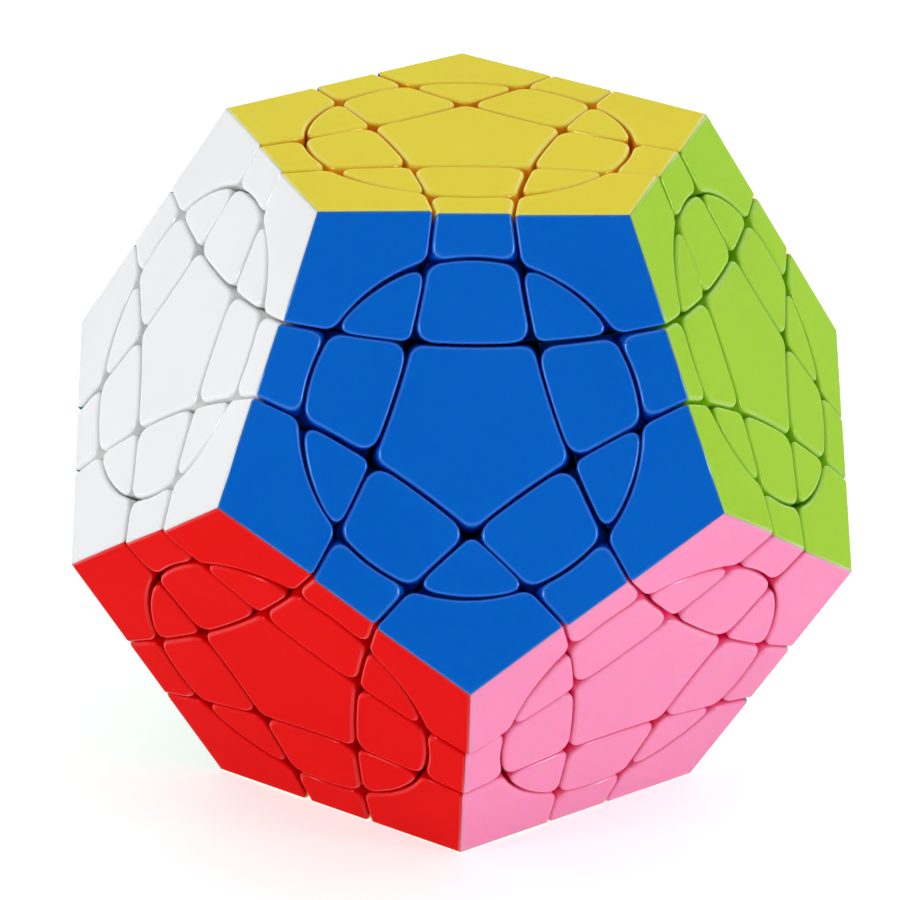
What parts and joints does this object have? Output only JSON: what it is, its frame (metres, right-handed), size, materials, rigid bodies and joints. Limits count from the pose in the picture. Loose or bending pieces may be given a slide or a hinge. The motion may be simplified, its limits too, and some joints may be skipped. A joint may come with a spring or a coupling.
{
  "type": "dodecahedron twisty puzzle",
  "caption": "Dodecahedron turning puzzle in coloured plastic: each face has a round still dial of cap, petals and triangles, inside turning edges and corners",
  "frame": {"origin": "centre of the core, which is also the middle of the whole body", "axes": "+Z out through the yellow face, -Y towards the blue face seen in front, +X to the right of it; the cream face it rests on points down -Z"},
  "size_m": [0.0894, 0.094, 0.076],
  "materials": {
    "yellow_plastic": "satin moulded plastic, coloured through",
    "blue_plastic": "satin moulded plastic, coloured through",
    "green_plastic": "satin moulded plastic, coloured through",
    "orange_plastic": "satin moulded plastic, coloured through",
    "purple_plastic": "satin moulded plastic, coloured through",
    "white_plastic": "satin moulded plastic, coloured through",
    "pink_plastic": "satin moulded plastic, coloured through",
    "grey_plastic": "satin moulded plastic, coloured through",
    "sky_plastic": "satin moulded plastic, coloured through",
    "forest_plastic": "satin moulded plastic, coloured through",
    "red_plastic": "satin moulded plastic, coloured through",
    "cream_plastic": "satin moulded plastic, coloured through",
    "core_plastic": "dull moulded nylon",
    "steel": "bright zinc-plated"
  },
  "bodies": {
    "core": {"core_spider": "core_plastic", "tension_screws": "steel", "spring_washers": "steel", "tension_springs": "steel", "centre_caps": "white_plastic", "turntable_cream": "cream_plastic"},
    "yellow_ring": {"turntable_yellow": "yellow_plastic"},
    "blue_ring": {"turntable_blue": "blue_plastic"},
    "green_ring": {"turntable_green": "green_plastic"},
    "orange_ring": {"turntable_orange": "orange_plastic"},
    "purple_ring": {"turntable_purple": "purple_plastic"},
    "white_ring": {"turntable_white": "white_plastic"},
    "pink_ring": {"turntable_pink": "pink_plastic"},
    "grey_ring": {"turntable_grey": "grey_plastic"},
    "sky_ring": {"turntable_sky": "sky_plastic"},
    "forest_ring": {"turntable_forest": "forest_plastic"},
    "red_ring": {"turntable_red": "red_plastic"},
    "yellow_blue_edge": {"edge_yellow_blue": "yellow_plastic"},
    "yellow_green_edge": {"edge_yellow_green": "yellow_plastic"},
    "yellow_orange_edge": {"edge_yellow_orange": "yellow_plastic"},
    "yellow_purple_edge": {"edge_yellow_purple": "yellow_plastic"},
    "yellow_white_edge": {"edge_yellow_white": "yellow_plastic"},
    "blue_green_edge": {"edge_blue_green": "blue_plastic"},
    "blue_white_edge": {"edge_blue_white": "blue_plastic"},
    "blue_pink_edge": {"edge_blue_pink": "blue_plastic"},
    "blue_red_edge": {"edge_blue_red": "blue_plastic"},
    "green_orange_edge": {"edge_green_orange": "green_plastic"},
    "green_pink_edge": {"edge_green_pink": "green_plastic"},
    "green_grey_edge": {"edge_green_grey": "green_plastic"},
    "orange_purple_edge": {"edge_orange_purple": "orange_plastic"},
    "orange_grey_edge": {"edge_orange_grey": "orange_plastic"},
    "orange_sky_edge": {"edge_orange_sky": "orange_plastic"},
    "purple_white_edge": {"edge_purple_white": "purple_plastic"},
    "purple_sky_edge": {"edge_purple_sky": "purple_plastic"},
    "purple_forest_edge": {"edge_purple_forest": "purple_plastic"},
    "white_forest_edge": {"edge_white_forest": "white_plastic"},
    "white_red_edge": {"edge_white_red": "white_plastic"},
    "pink_grey_edge": {"edge_pink_grey": "pink_plastic"},
    "pink_red_edge": {"edge_pink_red": "pink_plastic"},
    "grey_sky_edge": {"edge_grey_sky": "grey_plastic"},
    "sky_forest_edge": {"edge_sky_forest": "sky_plastic"},
    "forest_red_edge": {"edge_forest_red": "forest_plastic"},
    "yellow_blue_green_corner": {"corner_yellow_blue_green": "yellow_plastic"},
    "yellow_blue_white_corner": {"corner_yellow_blue_white": "yellow_plastic"},
    "yellow_green_orange_corner": {"corner_yellow_green_orange": "yellow_plastic"},
    "yellow_orange_purple_corner": {"corner_yellow_orange_purple": "yellow_plastic"},
    "yellow_purple_white_corner": {"corner_yellow_purple_white": "yellow_plastic"},
    "blue_green_pink_corner": {"corner_blue_green_pink": "blue_plastic"},
    "blue_white_red_corner": {"corner_blue_white_red": "blue_plastic"},
    "blue_pink_red_corner": {"corner_blue_pink_red": "blue_plastic"},
    "green_orange_grey_corner": {"corner_green_orange_grey": "green_plastic"},
    "green_pink_grey_corner": {"corner_green_pink_grey": "green_plastic"},
    "orange_purple_sky_corner": {"corner_orange_purple_sky": "orange_plastic"},
    "orange_grey_sky_corner": {"corner_orange_grey_sky": "orange_plastic"},
    "purple_white_forest_corner": {"corner_purple_white_forest": "purple_plastic"},
    "purple_sky_forest_corner": {"corner_purple_sky_forest": "purple_plastic"},
    "white_forest_red_corner": {"corner_white_forest_red": "white_plastic"}
  },
  "joints": [
    {"name": "turn_yellow", "type": "hinge", "parent": "core", "child": "yellow_ring", "pos_m": [0, 0, 0], "axis": [0, 0, 1], "range_deg": [-360, 360]},
    {"name": "turn_blue", "type": "hinge", "parent": "core", "child": "blue_ring", "pos_m": [0, 0, 0], "axis": [0, -0.8944, 0.4472], "continuous": true},
    {"name": "turn_green", "type": "hinge", "parent": "core", "child": "green_ring", "pos_m": [0, 0, 0], "axis": [0.8507, -0.2764, 0.4472], "range_deg": [-360, 360]},
    {"name": "turn_orange", "type": "hinge", "parent": "core", "child": "orange_ring", "pos_m": [0, 0, 0], "axis": [0.5257, 0.7236, 0.4472], "continuous": true},
    {"name": "turn_purple", "type": "hinge", "parent": "core", "child": "purple_ring", "pos_m": [0, 0, 0], "axis": [-0.5257, 0.7236, 0.4472], "range_deg": [-360, 360]},
    {"name": "turn_white", "type": "hinge", "parent": "core", "child": "white_ring", "pos_m": [0, 0, 0], "axis": [-0.8507, -0.2764, 0.4472], "range_deg": [-360, 360]},
    {"name": "turn_pink", "type": "hinge", "parent": "core", "child": "pink_ring", "pos_m": [0, 0, 0], "axis": [0.5257, -0.7236, -0.4472], "range_deg": [-360, 360]},
    {"name": "turn_grey", "type": "hinge", "parent": "core", "child": "grey_ring", "pos_m": [0, 0, 0], "axis": [0.8507, 0.2764, -0.4472], "range_deg": [-360, 360]},
    {"name": "turn_sky", "type": "hinge", "parent": "core", "child": "sky_ring", "pos_m": [0, 0, 0], "axis": [0, 0.8944, -0.4472], "range_deg": [-360, 360]},
    {"name": "turn_forest", "type": "hinge", "parent": "core", "child": "forest_ring", "pos_m": [0, 0, 0], "axis": [-0.8507, 0.2764, -0.4472], "continuous": true},
    {"name": "turn_red", "type": "hinge", "parent": "core", "child": "red_ring", "pos_m": [0, 0, 0], "axis": [-0.5257, -0.7236, -0.4472], "range_deg": [-360, 360]},
    {"name": "yellow_blue_edge_with_blue", "type": "hinge", "parent": "yellow_ring", "child": "yellow_blue_edge", "pos_m": [0, 0, 0], "axis": [0, -0.8944, 0.4472], "continuous": true},
    {"name": "yellow_green_edge_with_green", "type": "hinge", "parent": "yellow_ring", "child": "yellow_green_edge", "pos_m": [0, 0, 0], "axis": [0.8507, -0.2764, 0.4472], "range_deg": [-360, 360]},
    {"name": "yellow_orange_edge_with_orange", "type": "hinge", "parent": "yellow_ring", "child": "yellow_orange_edge", "pos_m": [0, 0, 0], "axis": [0.5257, 0.7236, 0.4472], "continuous": true},
    {"name": "yellow_purple_edge_with_purple", "type": "hinge", "parent": "yellow_ring", "child": "yellow_purple_edge", "pos_m": [0, 0, 0], "axis": [-0.5257, 0.7236, 0.4472], "range_deg": [-360, 360]},
    {"name": "yellow_white_edge_with_white", "type": "hinge", "parent": "yellow_ring", "child": "yellow_white_edge", "pos_m": [0, 0, 0], "axis": [-0.8507, -0.2764, 0.4472], "range_deg": [-360, 360]},
    {"name": "blue_green_edge_with_green", "type": "hinge", "parent": "blue_ring", "child": "blue_green_edge", "pos_m": [0, 0, 0], "axis": [0.8507, -0.2764, 0.4472], "range_deg": [-360, 360]},
    {"name": "blue_white_edge_with_white", "type": "hinge", "parent": "blue_ring", "child": "blue_white_edge", "pos_m": [0, 0, 0], "axis": [-0.8507, -0.2764, 0.4472], "range_deg": [-360, 360]},
    {"name": "blue_pink_edge_with_pink", "type": "hinge", "parent": "blue_ring", "child": "blue_pink_edge", "pos_m": [0, 0, 0], "axis": [0.5257, -0.7236, -0.4472], "range_deg": [-360, 360]},
    {"name": "blue_red_edge_with_red", "type": "hinge", "parent": "blue_ring", "child": "blue_red_edge", "pos_m": [0, 0, 0], "axis": [-0.5257, -0.7236, -0.4472], "range_deg": [-360, 360]},
    {"name": "green_orange_edge_with_orange", "type": "hinge", "parent": "green_ring", "child": "green_orange_edge", "pos_m": [0, 0, 0], "axis": [0.5257, 0.7236, 0.4472], "continuous": true},
    {"name": "green_pink_edge_with_pink", "type": "hinge", "parent": "green_ring", "child": "green_pink_edge", "pos_m": [0, 0, 0], "axis": [0.5257, -0.7236, -0.4472], "range_deg": [-360, 360]},
    {"name": "green_grey_edge_with_grey", "type": "hinge", "parent": "green_ring", "child": "green_grey_edge", "pos_m": [0, 0, 0], "axis": [0.8507, 0.2764, -0.4472], "range_deg": [-360, 360]},
    {"name": "orange_purple_edge_with_purple", "type": "hinge", "parent": "orange_ring", "child": "orange_purple_edge", "pos_m": [0, 0, 0], "axis": [-0.5257, 0.7236, 0.4472], "range_deg": [-360, 360]},
    {"name": "orange_grey_edge_with_grey", "type": "hinge", "parent": "orange_ring", "child": "orange_grey_edge", "pos_m": [0, 0, 0], "axis": [0.8507, 0.2764, -0.4472], "range_deg": [-360, 360]},
    {"name": "orange_sky_edge_with_sky", "type": "hinge", "parent": "orange_ring", "child": "orange_sky_edge", "pos_m": [0, 0, 0], "axis": [0, 0.8944, -0.4472], "range_deg": [-360, 360]},
    {"name": "purple_white_edge_with_white", "type": "hinge", "parent": "purple_ring", "child": "purple_white_edge", "pos_m": [0, 0, 0], "axis": [-0.8507, -0.2764, 0.4472], "range_deg": [-360, 360]},
    {"name": "purple_sky_edge_with_sky", "type": "hinge", "parent": "purple_ring", "child": "purple_sky_edge", "pos_m": [0, 0, 0], "axis": [0, 0.8944, -0.4472], "range_deg": [-360, 360]},
    {"name": "purple_forest_edge_with_forest", "type": "hinge", "parent": "purple_ring", "child": "purple_forest_edge", "pos_m": [0, 0, 0], "axis": [-0.8507, 0.2764, -0.4472], "continuous": true},
    {"name": "white_forest_edge_with_forest", "type": "hinge", "parent": "white_ring", "child": "white_forest_edge", "pos_m": [0, 0, 0], "axis": [-0.8507, 0.2764, -0.4472], "continuous": true},
    {"name": "white_red_edge_with_red", "type": "hinge", "parent": "white_ring", "child": "white_red_edge", "pos_m": [0, 0, 0], "axis": [-0.5257, -0.7236, -0.4472], "range_deg": [-360, 360]},
    {"name": "pink_grey_edge_with_grey", "type": "hinge", "parent": "pink_ring", "child": "pink_grey_edge", "pos_m": [0, 0, 0], "axis": [0.8507, 0.2764, -0.4472], "range_deg": [-360, 360]},
    {"name": "pink_red_edge_with_red", "type": "hinge", "parent": "pink_ring", "child": "pink_red_edge", "pos_m": [0, 0, 0], "axis": [-0.5257, -0.7236, -0.4472], "range_deg": [-360, 360]},
    {"name": "grey_sky_edge_with_sky", "type": "hinge", "parent": "grey_ring", "child": "grey_sky_edge", "pos_m": [0, 0, 0], "axis": [0, 0.8944, -0.4472], "range_deg": [-360, 360]},
    {"name": "sky_forest_edge_with_forest", "type": "hinge", "parent": "sky_ring", "child": "sky_forest_edge", "pos_m": [0, 0, 0], "axis": [-0.8507, 0.2764, -0.4472], "continuous": true},
    {"name": "forest_red_edge_with_red", "type": "hinge", "parent": "forest_ring", "child": "forest_red_edge", "pos_m": [0, 0, 0], "axis": [-0.5257, -0.7236, -0.4472], "range_deg": [-360, 360]},
    {"name": "yellow_blue_green_corner_with_green", "type": "hinge", "parent": "yellow_blue_edge", "child": "yellow_blue_green_corner", "pos_m": [0, 0, 0], "axis": [0.8507, -0.2764, 0.4472], "range_deg": [-360, 360]},
    {"name": "yellow_blue_white_corner_with_white", "type": "hinge", "parent": "yellow_blue_edge", "child": "yellow_blue_white_corner", "pos_m": [0, 0, 0], "axis": [-0.8507, -0.2764, 0.4472], "range_deg": [-360, 360]},
    {"name": "yellow_green_orange_corner_with_orange", "type": "hinge", "parent": "yellow_green_edge", "child": "yellow_green_orange_corner", "pos_m": [0, 0, 0], "axis": [0.5257, 0.7236, 0.4472], "continuous": true},
    {"name": "yellow_orange_purple_corner_with_purple", "type": "hinge", "parent": "yellow_orange_edge", "child": "yellow_orange_purple_corner", "pos_m": [0, 0, 0], "axis": [-0.5257, 0.7236, 0.4472], "range_deg": [-360, 360]},
    {"name": "yellow_purple_white_corner_with_white", "type": "hinge", "parent": "yellow_purple_edge", "child": "yellow_purple_white_corner", "pos_m": [0, 0, 0], "axis": [-0.8507, -0.2764, 0.4472], "range_deg": [-360, 360]},
    {"name": "blue_green_pink_corner_with_pink", "type": "hinge", "parent": "blue_green_edge", "child": "blue_green_pink_corner", "pos_m": [0, 0, 0], "axis": [0.5257, -0.7236, -0.4472], "range_deg": [-360, 360]},
    {"name": "blue_white_red_corner_with_red", "type": "hinge", "parent": "blue_white_edge", "child": "blue_white_red_corner", "pos_m": [0, 0, 0], "axis": [-0.5257, -0.7236, -0.4472], "range_deg": [-360, 360]},
    {"name": "blue_pink_red_corner_with_red", "type": "hinge", "parent": "blue_pink_edge", "child": "blue_pink_red_corner", "pos_m": [0, 0, 0], "axis": [-0.5257, -0.7236, -0.4472], "range_deg": [-360, 360]},
    {"name": "green_orange_grey_corner_with_grey", "type": "hinge", "parent": "green_orange_edge", "child": "green_orange_grey_corner", "pos_m": [0, 0, 0], "axis": [0.8507, 0.2764, -0.4472], "range_deg": [-360, 360]},
    {"name": "green_pink_grey_corner_with_grey", "type": "hinge", "parent": "green_pink_edge", "child": "green_pink_grey_corner", "pos_m": [0, 0, 0], "axis": [0.8507, 0.2764, -0.4472], "range_deg": [-360, 360]},
    {"name": "orange_purple_sky_corner_with_sky", "type": "hinge", "parent": "orange_purple_edge", "child": "orange_purple_sky_corner", "pos_m": [0, 0, 0], "axis": [0, 0.8944, -0.4472], "range_deg": [-360, 360]},
    {"name": "orange_grey_sky_corner_with_sky", "type": "hinge", "parent": "orange_grey_edge", "child": "orange_grey_sky_corner", "pos_m": [0, 0, 0], "axis": [0, 0.8944, -0.4472], "range_deg": [-360, 360]},
    {"name": "purple_white_forest_corner_with_forest", "type": "hinge", "parent": "purple_white_edge", "child": "purple_white_forest_corner", "pos_m": [0, 0, 0], "axis": [-0.8507, 0.2764, -0.4472], "continuous": true},
    {"name": "purple_sky_forest_corner_with_forest", "type": "hinge", "parent": "purple_sky_edge", "child": "purple_sky_forest_corner", "pos_m": [0, 0, 0], "axis": [-0.8507, 0.2764, -0.4472], "continuous": true},
    {"name": "white_forest_red_corner_with_red", "type": "hinge", "parent": "white_forest_edge", "child": "white_forest_red_corner", "pos_m": [0, 0, 0], "axis": [-0.5257, -0.7236, -0.4472], "range_deg": [-360, 360]}
  ],
  "couplings": [
    {"joint": "yellow_blue_edge_with_blue", "follows": "turn_blue", "ratio": 1},
    {"joint": "yellow_green_edge_with_green", "follows": "turn_green", "ratio": 1},
    {"joint": "yellow_orange_edge_with_orange", "follows": "turn_orange", "ratio": 1},
    {"joint": "yellow_purple_edge_with_purple", "follows": "turn_purple", "ratio": 1},
    {"joint": "yellow_white_edge_with_white", "follows": "turn_white", "ratio": 1},
    {"joint": "blue_green_edge_with_green", "follows": "turn_green", "ratio": 1},
    {"joint": "blue_white_edge_with_white", "follows": "turn_white", "ratio": 1},
    {"joint": "blue_pink_edge_with_pink", "follows": "turn_pink", "ratio": 1},
    {"joint": "blue_red_edge_with_red", "follows": "turn_red", "ratio": 1},
    {"joint": "green_orange_edge_with_orange", "follows": "turn_orange", "ratio": 1},
    {"joint": "green_pink_edge_with_pink", "follows": "turn_pink", "ratio": 1},
    {"joint": "green_grey_edge_with_grey", "follows": "turn_grey", "ratio": 1},
    {"joint": "orange_purple_edge_with_purple", "follows": "turn_purple", "ratio": 1},
    {"joint": "orange_grey_edge_with_grey", "follows": "turn_grey", "ratio": 1},
    {"joint": "orange_sky_edge_with_sky", "follows": "turn_sky", "ratio": 1},
    {"joint": "purple_white_edge_with_white", "follows": "turn_white", "ratio": 1},
    {"joint": "purple_sky_edge_with_sky", "follows": "turn_sky", "ratio": 1},
    {"joint": "purple_forest_edge_with_forest", "follows": "turn_forest", "ratio": 1},
    {"joint": "white_forest_edge_with_forest", "follows": "turn_forest", "ratio": 1},
    {"joint": "white_red_edge_with_red", "follows": "turn_red", "ratio": 1},
    {"joint": "pink_grey_edge_with_grey", "follows": "turn_grey", "ratio": 1},
    {"joint": "pink_red_edge_with_red", "follows": "turn_red", "ratio": 1},
    {"joint": "grey_sky_edge_with_sky", "follows": "turn_sky", "ratio": 1},
    {"joint": "sky_forest_edge_with_forest", "follows": "turn_forest", "ratio": 1},
    {"joint": "forest_red_edge_with_red", "follows": "turn_red", "ratio": 1},
    {"joint": "yellow_blue_green_corner_with_green", "follows": "turn_green", "ratio": 1},
    {"joint": "yellow_blue_white_corner_with_white", "follows": "turn_white", "ratio": 1},
    {"joint": "yellow_green_orange_corner_with_orange", "follows": "turn_orange", "ratio": 1},
    {"joint": "yellow_orange_purple_corner_with_purple", "follows": "turn_purple", "ratio": 1},
    {"joint": "yellow_purple_white_corner_with_white", "follows": "turn_white", "ratio": 1},
    {"joint": "blue_green_pink_corner_with_pink", "follows": "turn_pink", "ratio": 1},
    {"joint": "blue_white_red_corner_with_red", "follows": "turn_red", "ratio": 1},
    {"joint": "blue_pink_red_corner_with_red", "follows": "turn_red", "ratio": 1},
    {"joint": "green_orange_grey_corner_with_grey", "follows": "turn_grey", "ratio": 1},
    {"joint": "green_pink_grey_corner_with_grey", "follows": "turn_grey", "ratio": 1},
    {"joint": "orange_purple_sky_corner_with_sky", "follows": "turn_sky", "ratio": 1},
    {"joint": "orange_grey_sky_corner_with_sky", "follows": "turn_sky", "ratio": 1},
    {"joint": "purple_white_forest_corner_with_forest", "follows": "turn_forest", "ratio": 1},
    {"joint": "purple_sky_forest_corner_with_forest", "follows": "turn_forest", "ratio": 1},
    {"joint": "white_forest_red_corner_with_red", "follows": "turn_red", "ratio": 1}
  ]
}
